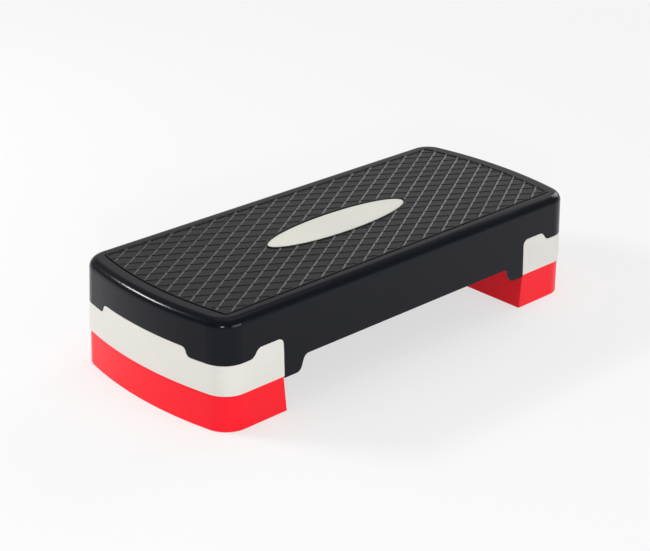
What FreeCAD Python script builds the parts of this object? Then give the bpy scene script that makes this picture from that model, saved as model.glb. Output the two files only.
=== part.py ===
"""Aerobic step platform: a black deck on two screwed end feet and two pull-off risers.

Millimetres. The origin is on the floor under the middle of the deck, X runs along the deck,
Y across it and Z up. Each end foot, riser and screw set is drawn at the right-hand end, and its
twin at the left-hand end is turned half a turn about Z.
"""
import FreeCAD, Part

import math
import os
import re

import Sketcher

SIZES = [
    # Plan outline of the deck and the end feet at the level of the riser tops
    ("half_length", "341.2"),
    ("half_width", "142.4"),
    ("end_radius", "531"),
    ("corner_radius", "34.6"),
    ("side_draft", "3.1"),
    ("end_draft", "0.4"),
    # Deck shell
    ("deck_height", "99.2"),
    ("deck_wall", "3"),
    ("deck_roof", "3.6"),
    ("shoulder_radius", "12"),
    ("shoulder_land", "1"),
    ("rib_depth", "14"),
    ("rib_thickness", "2.5"),
    ("last_rib_to_end", "93.2"),
    ("long_rib_pitch", "48"),
    # Lower edge of the skirt along the sides: arch, tabs and the notches for the end feet
    ("arch_height", "19"),
    ("arch_to_end", "148.2"),
    ("tab_drop", "2"),
    ("tab_to_end", "139.9"),
    ("tab_round", "10"),
    ("notch_length", "113.2"),
    ("notch_height", "52.7"),
    ("notch_round", "9"),
    ("step_inner_to_end", "71.1"),
    ("step_outer_to_end", "63.4"),
    ("step_round", "12"),
    ("lobe_height", "40.7"),
    # Lower edge of the skirt across the ends
    ("end_step_inner_to_side", "63.1"),
    ("end_step_outer_to_side", "59.6"),
    ("end_step_round", "7.5"),
    # Tread mat in its recess, with a bead round its edge, a collar round the plate and crossed ribs
    ("mat_to_end", "25.4"),
    ("mat_to_side", "25"),
    ("mat_corner", "4.5"),
    ("mat_gap", "1.6"),
    ("recess_depth", "2.2"),
    ("mat_thickness", "2"),
    ("bead_width", "2.2"),
    ("tread_lean", "30"),
    ("tread_pitch", "37.4"),
    ("tread_width", "2.7"),
    ("tread_height", "1"),
    # Oval plate in the middle of the mat
    ("plate_half_length", "125.4"),
    ("plate_half_width", "30.3"),
    ("plate_thickness", "1.6"),
    ("plate_gap", "0.8"),
    ("plate_edge", "0.6"),
    ("collar_width", "3"),
    # End feet
    ("foot_wall", "3"),
    ("foot_floor", "3"),
    ("foot_headroom", "7.4"),
    ("foot_sole", "1.6"),
    ("foot_edge", "0.8"),
    ("seam", "0.3"),
    ("tongue_fit", "0.3"),
    # Pegs of the risers and their sockets in the end feet
    ("peg_to_end", "61.2"),
    ("peg_to_side", "97.4"),
    ("peg_radius", "12.5"),
    ("peg_height", "16"),
    ("peg_wall", "2.5"),
    ("peg_round", "2"),
    ("peg_fit", "0.4"),
    ("socket_room", "1"),
    ("socket_wall", "2.5"),
    # Rubber pads under the end feet and under the risers, on the same centres
    ("inner_pad_to_end", "91.2"),
    ("outer_pad_to_end", "41.2"),
    ("pad_to_side", "37.4"),
    ("pad_seat", "3"),
    ("pad_fit", "0.2"),
    ("pad_room", "0.7"),
    ("cup_room", "0.5"),
    ("pad_round", "1"),
    ("foot_pad_radius", "11"),
    ("foot_pad_proud", "2.5"),
    ("foot_pad_boss_wall", "3"),
    ("riser_pad_radius", "12"),
    ("riser_pad_proud", "1"),
    # Risers
    ("riser_top", "50"),
    ("riser_inset", "1.4"),
    ("riser_end_spread", "0.2"),
    ("riser_side_spread", "1.6"),
    ("riser_gap", "0.6"),
    ("riser_flare", "4.6"),
    ("riser_wall", "3"),
    ("riser_roof", "3"),
    ("riser_land", "2"),
    ("riser_edge", "1"),
    ("riser_rib_depth", "10"),
    ("rib_bite", "0.8"),
    ("post_wall", "3"),
    ("post_bore", "8"),
    ("post_floor", "4"),
    # Screws, their wells in the end feet and their bosses under the deck
    ("inner_screw_to_end", "98.2"),
    ("outer_screw_to_end", "29.2"),
    ("screw_to_side", "70.4"),
    ("screw_radius", "2"),
    ("screw_length", "20"),
    ("screw_fit", "0.1"),
    ("screw_play", "0.25"),
    ("pilot_room", "4"),
    ("head_radius", "4.2"),
    ("head_height", "3"),
    ("drive_radius", "1.6"),
    ("drive_depth", "1.8"),
    ("well_radius", "5.5"),
    ("well_wall", "2.5"),
    ("well_height", "53"),
    ("well_floor", "3"),
    ("boss_wall", "3.4"),
]

CROSS_RIBS_EACH_WAY = 4
SMALLEST_CELL_SHARE = 0.04
CUT_MARGIN = "10"
SIDES = ("right", "left")


def fitted(radius, run, rise):
    """A corner radius held to what the slope between two such corners has room for."""
    return f"min({radius}; hypot({run}; {rise}) / 2 / tan(atan2({rise}; {run}) / 2))"


# Levels and places worked out from the sizes. Levels are heights above the floor
PLACES = {
    "cut_margin": CUT_MARGIN,
    "rim_level": "riser_top + deck_height",
    "recess_floor": "rim_level - recess_depth",
    "mat_top": "recess_floor + mat_thickness",
    "ceiling": "recess_floor - deck_roof",
    "rib_foot": "ceiling - rib_depth",
    "arch_level": "riser_top + arch_height",
    "tab_level": "riser_top - tab_drop",
    "notch_level": "riser_top + notch_height",
    "lobe_level": "riser_top + lobe_height",
    "foot_top": "rib_foot - foot_headroom",
    "well_level": "riser_top + well_height",
    "riser_ceiling": "riser_top - riser_roof",
    "riser_rib_foot": "riser_ceiling - riser_rib_depth",
    "arch_half": "half_length - arch_to_end",
    "tab_foot": "half_length - tab_to_end",
    "notch_inner": "half_length - notch_length",
    "step_in": "half_length - step_inner_to_end",
    "step_out": "half_length - step_outer_to_end",
    "end_step_in": "half_width - end_step_inner_to_side",
    "end_step_out": "half_width - end_step_outer_to_side",
    "tab_radius": fitted("tab_round", "arch_to_end - tab_to_end", "arch_height + tab_drop"),
    "step_radius": fitted("step_round", "step_inner_to_end - step_outer_to_end",
                          "notch_height - lobe_height"),
    "end_step_radius": fitted("end_step_round", "end_step_inner_to_side - end_step_outer_to_side",
                              "notch_height - lobe_height"),
    "mat_half_length": "half_length - mat_to_end",
    "mat_half_width": "half_width - mat_to_side",
    "mat_end_radius": "end_radius - mat_to_side",
    "foot_inner": "notch_inner + seam",
    "riser_inner": "notch_inner + riser_gap",
    "riser_half_length": "half_length - riser_inset",
    "riser_half_width": "half_width - riser_inset",
    "peg_x": "half_length - peg_to_end",
    "peg_y": "half_width - peg_to_side",
    "pad_x_inner": "half_length - inner_pad_to_end",
    "pad_x_outer": "half_length - outer_pad_to_end",
    "pad_y": "half_width - pad_to_side",
    "post_radius": "max(riser_pad_radius + pad_fit; foot_pad_radius + pad_room) + post_wall",
    "screw_x_inner": "half_length - inner_screw_to_end",
    "screw_x_outer": "half_length - outer_screw_to_end",
    "screw_y": "half_width - screw_to_side",
}

WORDS = re.compile(r"[a-z_]+")

sizes = dict(SIZES)
doc = FreeCAD.newDocument("aerobic_step")
sheet = doc.addObject("Spreadsheet::Sheet", "Sizes")
for row, (name, number) in enumerate(sizes.items(), 1):
    sheet.set(f"A{row}", name)
    sheet.set(f"B{row}", number)
    sheet.setAlias(f"B{row}", name)
doc.recompute()


# Sizes and expressions

def in_sizes(expression, prefix=""):
    """An expression with its places spelled out, so that it holds only sizes of the sheet."""
    def spell(found):
        word = found[0]
        if word in PLACES:
            return f"({in_sizes(PLACES[word], prefix)})"
        return prefix + word if word in sizes else word
    return WORDS.sub(spell, expression)


def value(expression):
    """The number that an expression gives."""
    return float(sheet.evalExpression(in_sizes(expression)))


def bind(thing, place, expression):
    """Tie one property or constraint of an object to the sheet's sizes."""
    thing.setExpression(place, in_sizes(expression, "Sizes."))


def side(level, inset="0"):
    """Half width of the drafted outline at a level, less an inset."""
    return f"half_width - ({level} - riser_top) * tan(side_draft * 1 deg) - ({inset})"


def end(level, inset="0"):
    """Half length of the drafted outline at a level, less an inset."""
    return f"half_length - ({level} - riser_top) * tan(end_draft * 1 deg) - ({inset})"


def fours(x_inner, x_outer, y):
    """Four centres at the right-hand end."""
    return [(x, sign + y) for x in (x_inner, x_outer) for sign in ("-", "")]


# Sketches

def new_body(label):
    body = doc.addObject("PartDesign::Body", label)
    body.Label = label
    return body


def origin_feature(body, role):
    return next(feature for feature in body.Origin.OriginFeatures if feature.Role == role)


def new_sketch(body, name, plane="XY_Plane", offset="0"):
    """A sketch on one of the body's own planes, moved along its normal by an offset."""
    sketch = body.newObject("Sketcher::SketchObject", name)
    sketch.AttachmentSupport = [(origin_feature(body, plane), "")]
    sketch.MapMode = "FlatFace"
    bind(sketch, "AttachmentOffset.Base.z", offset)
    return sketch


def fix(sketch, kind, *where):
    """Add a constraint whose last entry is an expression, and tie it to the sheet."""
    expression = where[-1]
    index = sketch.addConstraint(Sketcher.Constraint(kind, *where[:-1], value(expression)))
    bind(sketch, f"Constraints[{index}]", expression)


def join(sketch, kind, *where):
    sketch.addConstraint(Sketcher.Constraint(kind, *where))


def line(sketch, start, finish):
    return sketch.addGeometry(Part.LineSegment(FreeCAD.Vector(*start, 0), FreeCAD.Vector(*finish, 0)))


def arc(sketch, centre, radius, start, finish):
    circle = Part.Circle(FreeCAD.Vector(*centre, 0), FreeCAD.Vector(0, 0, 1), radius)
    return sketch.addGeometry(Part.ArcOfCircle(circle, start, finish))


def draw_polygon(sketch, corners):
    """A closed outline through corners given as x, y and, where rounded, a radius."""
    points = [FreeCAD.Vector(value(corner[0]), value(corner[1]), 0) for corner in corners]
    count = len(points)
    marks = []
    reach = []
    for index, corner in enumerate(corners):
        mark = sketch.addGeometry(Part.Point(points[index]), True)
        fix(sketch, "DistanceX", -1, 1, mark, 1, corner[0])
        fix(sketch, "DistanceY", -1, 1, mark, 1, corner[1])
        marks.append(mark)
        into = (points[index] - points[index - 1]).normalize()
        out = (points[(index + 1) % count] - points[index]).normalize()
        radius = value(corner[2]) if len(corner) > 2 else 0
        reach.append(radius * math.tan(into.getAngle(out) / 2))
    lines = []
    for index in range(count):
        after = (index + 1) % count
        along = (points[after] - points[index]).normalize()
        start = points[index] + along * reach[index]
        finish = points[after] - along * reach[after]
        lines.append(line(sketch, (start.x, start.y), (finish.x, finish.y)))
    for index, corner in enumerate(corners):
        before, after = lines[index - 1], lines[index]
        if len(corner) == 2:
            join(sketch, "Coincident", before, 2, marks[index], 1)
            join(sketch, "Coincident", after, 1, marks[index], 1)
            continue
        into = (points[index] - points[index - 1]).normalize()
        out = (points[(index + 1) % count] - points[index]).normalize()
        turn = 1 if into.cross(out).z > 0 else -1
        radius = value(corner[2])
        first = points[index] - into * reach[index]
        centre = first + FreeCAD.Vector(-into.y, into.x, 0) * (turn * radius)
        last = points[index] + out * reach[index]
        from_point, to_point = (first, last) if turn > 0 else (last, first)
        angles = [math.atan2(p.y - centre.y, p.x - centre.x) for p in (from_point, to_point)]
        if angles[1] < angles[0]:
            angles[1] += 2 * math.pi
        bend = arc(sketch, (centre.x, centre.y), radius, *angles)
        enter, leave = (1, 2) if turn > 0 else (2, 1)
        join(sketch, "Tangent", before, 2, bend, enter)
        join(sketch, "Tangent", after, 1, bend, leave)
        join(sketch, "PointOnObject", marks[index], 1, before)
        join(sketch, "PointOnObject", marks[index], 1, after)
        fix(sketch, "Radius", bend, corner[2])


def draw_end(sketch, half_length, half_width, bow, corner, turned):
    """Corner, bowed end and corner of an outline, at the right or, turned, at the left end."""
    length, width, large, small = (value(size) for size in (half_length, half_width, bow, corner))
    bow_x = length - large
    corner_x = bow_x + math.sqrt((large - small) ** 2 - (width - small) ** 2)
    lean = math.atan2(width - small, corner_x - bow_x)
    base = math.pi if turned else 0
    sign = -1 if turned else 1
    first = arc(sketch, (sign * corner_x, -sign * (width - small)), small, base - math.pi / 2, base - lean)
    middle = arc(sketch, (sign * bow_x, 0), large, base - lean, base + lean)
    last = arc(sketch, (sign * corner_x, sign * (width - small)), small, base + lean, base + math.pi / 2)
    join(sketch, "Tangent", first, 2, middle, 1)
    join(sketch, "Tangent", middle, 2, last, 1)
    join(sketch, "PointOnObject", middle, 3, -1)
    place = f"{half_length} - ({bow})"
    fix(sketch, "DistanceX", -1, 1, middle, 3, f"-({place})" if turned else place)
    fix(sketch, "Radius", first, corner)
    fix(sketch, "Radius", middle, bow)
    fix(sketch, "Radius", last, corner)
    return first, last, corner_x


def draw_outline(sketch, half_length, half_width, bow, corner):
    """Whole plan outline: straight long sides, bowed ends and rounded corners."""
    width = value(half_width)
    right_first, right_last, reach = draw_end(sketch, half_length, half_width, bow, corner, False)
    left_first, left_last, reach = draw_end(sketch, half_length, half_width, bow, corner, True)
    front = line(sketch, (-reach, -width), (reach, -width))
    back = line(sketch, (reach, width), (-reach, width))
    join(sketch, "Tangent", left_last, 2, front, 1)
    join(sketch, "Tangent", front, 2, right_first, 1)
    join(sketch, "Tangent", right_last, 2, back, 1)
    join(sketch, "Tangent", back, 2, left_first, 1)
    for edge, distance in ((front, f"-({half_width})"), (back, half_width)):
        join(sketch, "Horizontal", edge)
        fix(sketch, "DistanceY", -1, 1, edge, 1, distance)


def draw_end_outline(sketch, inner, half_length, half_width, bow, corner):
    """Plan outline of a piece at the right-hand end, with a straight inner side."""
    width = value(half_width)
    near = value(inner)
    first, last, reach = draw_end(sketch, half_length, half_width, bow, corner, False)
    front = line(sketch, (near, -width), (reach, -width))
    back = line(sketch, (reach, width), (near, width))
    inside = line(sketch, (near, width), (near, -width))
    join(sketch, "Tangent", front, 2, first, 1)
    join(sketch, "Tangent", last, 2, back, 1)
    join(sketch, "Coincident", back, 2, inside, 1)
    join(sketch, "Coincident", inside, 2, front, 1)
    join(sketch, "Horizontal", front)
    join(sketch, "Horizontal", back)
    join(sketch, "Vertical", inside)
    fix(sketch, "DistanceY", -1, 1, front, 1, f"-({half_width})")
    fix(sketch, "DistanceY", -1, 1, back, 1, half_width)
    fix(sketch, "DistanceX", -1, 1, inside, 1, inner)


def draw_circles(sketch, centres, radius):
    for x, y in centres:
        centre = FreeCAD.Vector(value(x), value(y), 0)
        circle = sketch.addGeometry(Part.Circle(centre, FreeCAD.Vector(0, 0, 1), value(radius)))
        fix(sketch, "DistanceX", -1, 1, circle, 3, x)
        fix(sketch, "DistanceY", -1, 1, circle, 3, y)
        fix(sketch, "Radius", circle, radius)


def draw_oval(sketch, half_length, half_width):
    """An ellipse about the origin with its long axis along X."""
    ellipse = Part.Ellipse(FreeCAD.Vector(0, 0, 0), value(half_length), value(half_width))
    oval = sketch.addGeometry(ellipse)
    sketch.exposeInternalGeometry(oval)
    long_axis, short_axis = oval + 1, oval + 2
    join(sketch, "Coincident", oval, 3, -1, 1)
    join(sketch, "Horizontal", long_axis)
    fix(sketch, "Distance", long_axis, f"2 * ({half_length})")
    fix(sketch, "Distance", short_axis, f"2 * ({half_width})")


def draw_box(sketch, x_low, x_high, y_low, y_high):
    draw_polygon(sketch, [(x_low, y_low), (x_high, y_low), (x_high, y_high), (x_low, y_high)])


# Features

def feature_on(body, kind, name):
    return body.newObject("PartDesign::" + kind, name)


def finish_feature(body, feature, adds):
    """Recompute, and check that the feature added or took away material."""
    before = feature.BaseFeature.Shape.Volume if feature.BaseFeature else 0
    doc.recompute()
    change = feature.Shape.Volume - before
    if (change > 0) != adds or abs(change) < 1:
        raise RuntimeError(f"{feature.Label} of {body.Label} changed the volume by {change:.1f}")
    return feature


def pad(body, name, sketch, length, downwards=False):
    feature = feature_on(body, "Pad", name)
    feature.Profile = sketch
    feature.Reversed = downwards
    bind(feature, "Length", length)
    return finish_feature(body, feature, True)


def pocket(body, name, sketch, length=None, along_normal=False, both_ways=False):
    """Cut to a depth, or right through where no depth is given."""
    feature = feature_on(body, "Pocket", name)
    feature.Profile = sketch
    feature.Reversed = along_normal
    if both_ways:
        feature.SideType = "Symmetric"
    if length is None:
        feature.Type = "ThroughAll"
    else:
        bind(feature, "Length", length)
    return finish_feature(body, feature, False)


def loft(body, name, first, last, adds=True):
    feature = feature_on(body, "AdditiveLoft" if adds else "SubtractiveLoft", name)
    feature.Profile = first
    feature.Sections = [last]
    feature.Ruled = True
    return finish_feature(body, feature, adds)


def fillet(body, name, base, radius, chosen):
    """Round the edges of a feature that a test picks out."""
    edges = [f"Edge{index}" for index, edge in enumerate(base.Shape.Edges, 1) if chosen(edge.BoundBox)]
    feature = feature_on(body, "Fillet", name)
    feature.Base = (base, edges)
    bind(feature, "Radius", radius)
    doc.recompute()
    return feature


def lies_at(level):
    """A test that picks the edges lying flat at a level."""
    height = value(level)
    return lambda box: abs(box.ZMin - height) < 1e-3 and abs(box.ZMax - height) < 1e-3


def drafted_loft(body, name, low, high, inset, adds=True):
    """Loft of the whole drafted outline between two levels."""
    sketches = []
    for level, tag in ((low, "low"), (high, "high")):
        sketch = new_sketch(body, f"{name}_{tag}", offset=level)
        draw_outline(sketch, end(level, inset), side(level, inset), f"end_radius - ({inset})",
                     f"corner_radius - ({inset})")
        sketches.append(sketch)
    return loft(body, name, *sketches, adds)


def drafted_end_loft(body, name, low, high, inner, inset, adds=True):
    """Loft of the drafted outline at the right-hand end between two levels."""
    sketches = []
    for level, tag in ((low, "low"), (high, "high")):
        sketch = new_sketch(body, f"{name}_{tag}", offset=level)
        draw_end_outline(sketch, inner, end(level, inset), side(level, inset),
                         f"end_radius - ({inset})", f"corner_radius - ({inset})")
        sketches.append(sketch)
    return loft(body, name, *sketches, adds)


# Deck shell

def mirrored(corners):
    """Corners on the right followed by their mirror images on the left, in order."""
    left = [("-(" + corner[0] + ")",) + tuple(corner[1:]) for corner in reversed(corners)]
    return corners + left


def make_deck_shell():
    body = new_body("deck_shell")
    low = "tab_level - cut_margin"
    shoulder = "rim_level - shoulder_radius - shoulder_land"
    drafted_loft(body, "block", low, shoulder, "0")
    crown_edge = new_sketch(body, "crown_edge", offset=shoulder)
    draw_outline(crown_edge, end(shoulder), side(shoulder), "end_radius", "corner_radius")
    crown = pad(body, "crown", crown_edge, f"rim_level - ({shoulder})")
    fillet(body, "shoulder", crown, "shoulder_radius", lies_at("rim_level"))

    inner_radius = "shoulder_radius - deck_wall"
    spring = f"ceiling - ({inner_radius}) - shoulder_land"
    drafted_loft(body, "hollow", low, spring, "deck_wall", adds=False)
    vault_edge = new_sketch(body, "vault_edge", offset=spring)
    draw_outline(vault_edge, end(spring, "deck_wall"), side(spring, "deck_wall"), "end_radius - deck_wall",
                 "corner_radius - deck_wall")
    vault = pocket(body, "vault", vault_edge, f"ceiling - ({spring})", along_normal=True)
    fillet(body, "inside_shoulder", vault, inner_radius, lies_at("ceiling"))

    far = "half_length + cut_margin"
    below = "tab_level - 2 * cut_margin"
    side_cut = new_sketch(body, "side_cut_edge", "XZ_Plane")
    draw_polygon(side_cut, mirrored([
        ("arch_half", "arch_level", "tab_radius"),
        ("tab_foot", "tab_level", "tab_radius"),
        ("notch_inner", "tab_level"),
        ("notch_inner", "notch_level", "notch_round"),
        ("step_in", "notch_level", "step_radius"),
        ("step_out", "lobe_level", "step_radius"),
        (far, "lobe_level"),
        (far, below),
    ]))
    pocket(body, "side_cut", side_cut, both_ways=True)

    outer = "end_step_out + cut_margin"
    end_cut = new_sketch(body, "end_cut_edge", "YZ_Plane")
    draw_polygon(end_cut, mirrored([
        ("end_step_in", "notch_level", "end_step_radius"),
        ("end_step_out", "lobe_level", "end_step_radius"),
        (outer, "lobe_level"),
        (outer, below),
    ]))
    pocket(body, "end_cut", end_cut, both_ways=True)

    recess = new_sketch(body, "recess_edge", offset="rim_level")
    draw_outline(recess, "mat_half_length + mat_gap", "mat_half_width + mat_gap",
                 "mat_end_radius + mat_gap", "mat_corner + mat_gap")
    pocket(body, "recess", recess, "recess_depth")

    rib_half = f"{side('ceiling')} - shoulder_radius"
    cross_ribs = new_sketch(body, "cross_rib_feet", offset="rib_foot")
    for number in range(-CROSS_RIBS_EACH_WAY, CROSS_RIBS_EACH_WAY + 1):
        middle = f"{number / CROSS_RIBS_EACH_WAY} * (half_length - last_rib_to_end)"
        draw_box(cross_ribs, f"{middle} - rib_thickness / 2", f"{middle} + rib_thickness / 2",
                 f"-({rib_half})", rib_half)
    pad(body, "cross_ribs", cross_ribs, "rib_depth + deck_roof / 2")
    long_ribs = new_sketch(body, "long_rib_feet", offset="rib_foot")
    for number in (-1, 0, 1):
        middle = f"{number} * long_rib_pitch"
        draw_box(long_ribs, "-mat_half_length", "mat_half_length",
                 f"{middle} - rib_thickness / 2", f"{middle} + rib_thickness / 2")
    pad(body, "long_ribs", long_ribs, "rib_depth + deck_roof / 2")

    right = fours("screw_x_inner", "screw_x_outer", "screw_y")
    centres = right + [("-" + x, y) for x, y in right]
    bosses = new_sketch(body, "boss_feet", offset="well_level")
    draw_circles(bosses, centres, "screw_radius + screw_fit + boss_wall")
    pad(body, "bosses", bosses, "ceiling + deck_roof / 2 - well_level")
    pilots = new_sketch(body, "pilot_mouths", offset="well_level")
    draw_circles(pilots, centres, "screw_radius + screw_fit")
    pocket(body, "pilots", pilots, "screw_length - well_floor + pilot_room", along_normal=True)
    return body


# Tread mat and oval plate

def tread_cells(field):
    """The diamond hollows between the ribs, clipped to a field, as a group of upright prisms."""
    lean = math.radians(value("tread_lean"))
    half_long = value("tread_pitch") / 2
    half_wide = half_long * math.tan(lean)
    inner = half_long - value("tread_width") / 2 / math.sin(lean)
    points = [FreeCAD.Vector(x * inner, y * inner * math.tan(lean), value("mat_top"))
              for x, y in ((1, 0), (0, 1), (-1, 0), (0, -1), (1, 0))]
    diamond = Part.Face(Part.makePolygon(points))
    columns = math.ceil(value("mat_half_length") / half_long)
    rows = math.ceil(value("mat_half_width") / half_wide)
    upwards = FreeCAD.Vector(0, 0, 2 * value("tread_height"))
    prisms = []
    for row in range(-rows, rows + 1):
        for column in range(-columns, columns + 1):
            if (row + column) % 2:
                continue
            cell = diamond.translated(FreeCAD.Vector(column * half_long, row * half_wide, 0))
            clipped = cell.common(field)
            if clipped.Area > SMALLEST_CELL_SHARE * diamond.Area:
                prisms += [face.extrude(upwards) for face in clipped.Faces]
    return Part.makeCompound(prisms)


def make_tread_mat():
    block = new_body("mat_block")
    block_edge = new_sketch(block, "mat_edge", offset="recess_floor")
    draw_outline(block_edge, "mat_half_length", "mat_half_width", "mat_end_radius", "mat_corner")
    pad(block, "mat", block_edge, "mat_thickness + tread_height")
    window = new_sketch(block, "window_edge", offset="mat_top + tread_height")
    draw_oval(window, "plate_half_length + plate_gap", "plate_half_width + plate_gap")
    pocket(block, "window", window)
    field_edges = new_sketch(block, "field_edges", offset="mat_top")
    draw_outline(field_edges, "mat_half_length - bead_width", "mat_half_width - bead_width",
                 "mat_end_radius - bead_width", "mat_corner - bead_width")
    draw_oval(field_edges, "plate_half_length + plate_gap + collar_width",
              "plate_half_width + plate_gap + collar_width")
    doc.recompute()
    cells = doc.addObject("Part::Feature", "tread_cells")
    cells.Shape = tread_cells(Part.Face(field_edges.Shape.Wires, "Part::FaceMakerBullseye"))
    mat = doc.addObject("Part::Cut", "tread_mat")
    mat.Label = "tread_mat"
    mat.Base = block
    mat.Tool = cells
    doc.recompute()
    return mat


def make_centre_plate():
    body = new_body("centre_plate")
    edge = new_sketch(body, "plate_edge_line", offset="recess_floor")
    draw_oval(edge, "plate_half_length", "plate_half_width")
    plate = pad(body, "plate", edge, "plate_thickness")
    fillet(body, "rounded_edge", plate, "plate_edge", lies_at("recess_floor + plate_thickness"))
    return body


# End feet

def turn_to(body, which):
    """Leave a right-hand piece where it is, or turn it to the left-hand end."""
    turn = FreeCAD.Rotation(FreeCAD.Vector(0, 0, 1), 180 if which == "left" else 0)
    body.Placement = FreeCAD.Placement(FreeCAD.Vector(0, 0, 0), turn)
    return body


def make_end_foot(which):
    body = new_body(f"end_foot_{which}")
    skin_top = "notch_level - seam"
    sole_top = "riser_top + foot_sole"
    sole_edge = new_sketch(body, "sole_edge", offset="riser_top")
    draw_end_outline(sole_edge, "foot_inner", end(sole_top), side(sole_top), "end_radius", "corner_radius")
    sole = pad(body, "sole", sole_edge, "foot_sole")
    fillet(body, "lower_edge", sole, "foot_edge", lies_at("riser_top"))
    drafted_end_loft(body, "skin", sole_top, skin_top, "foot_inner", "0")

    far = "half_length + cut_margin"
    above = "notch_level + cut_margin"
    low = "notch_level - 2 * notch_round"
    over_sides = [
        ("foot_inner - cut_margin", above),
        ("foot_inner - cut_margin", low),
        ("foot_inner", low),
        ("foot_inner", skin_top, "notch_round - seam"),
        ("step_in - seam", skin_top, "step_radius"),
        ("step_out - seam", "lobe_level - seam", "step_radius"),
        (far, "lobe_level - seam"),
        (far, above),
    ]
    from_middle = "end_step_out + cut_margin"
    for name, offset, along_normal in (("front", from_middle, True), ("back", f"-({from_middle})", False)):
        over = new_sketch(body, f"over_{name}", "XZ_Plane", offset)
        draw_polygon(over, over_sides)
        pocket(body, f"{name}_top", over, along_normal=along_normal)
    over_end = new_sketch(body, "over_end", "YZ_Plane", "step_out + step_radius")
    draw_polygon(over_end, mirrored([
        ("end_step_in - seam", skin_top, "end_step_radius"),
        ("end_step_out - seam", "lobe_level - seam", "end_step_radius"),
        ("half_width + cut_margin", "lobe_level - seam"),
        ("half_width + cut_margin", above),
    ]))
    pocket(body, "end_top", over_end, along_normal=True)

    tongue_inset = "deck_wall + tongue_fit"
    drafted_end_loft(body, "tongue", "riser_top + foot_floor", "foot_top", "foot_inner", tongue_inset)
    drafted_end_loft(body, "hollow", "riser_top + foot_floor", "foot_top + cut_margin",
                     "foot_inner + foot_wall", f"{tongue_inset} + foot_wall", adds=False)

    pad_centres = fours("pad_x_inner", "pad_x_outer", "pad_y")
    peg_centres = [("peg_x", "-peg_y"), ("peg_x", "peg_y")]
    screw_centres = fours("screw_x_inner", "screw_x_outer", "screw_y")
    inside = "riser_top + foot_floor / 2"
    columns = (
        ("pad_bosses", pad_centres, "foot_pad_radius + pad_fit + foot_pad_boss_wall",
         "foot_floor / 2 + pad_seat"),
        ("sockets", peg_centres, "peg_radius + peg_fit + socket_wall",
         "peg_height + socket_room + socket_wall - foot_floor / 2"),
        ("wells", screw_centres, "well_radius + well_wall", f"well_level - ({inside})"),
    )
    for name, centres, radius, height in columns:
        ring = new_sketch(body, f"{name}_ring", offset=inside)
        draw_circles(ring, centres, radius)
        pad(body, name, ring, height)
    holes = (
        ("pad_seats", pad_centres, "foot_pad_radius + pad_fit", "pad_seat"),
        ("socket_bores", peg_centres, "peg_radius + peg_fit", "peg_height + socket_room"),
        ("well_bores", screw_centres, "well_radius", "well_level - well_floor - riser_top"),
        ("screw_holes", screw_centres, "screw_radius + screw_play", None),
    )
    for name, centres, radius, depth in holes:
        mouth = new_sketch(body, f"{name}_mouth", offset="riser_top")
        draw_circles(mouth, centres, radius)
        pocket(body, name, mouth, depth, along_normal=True)
    return turn_to(body, which)


# Risers

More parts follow.
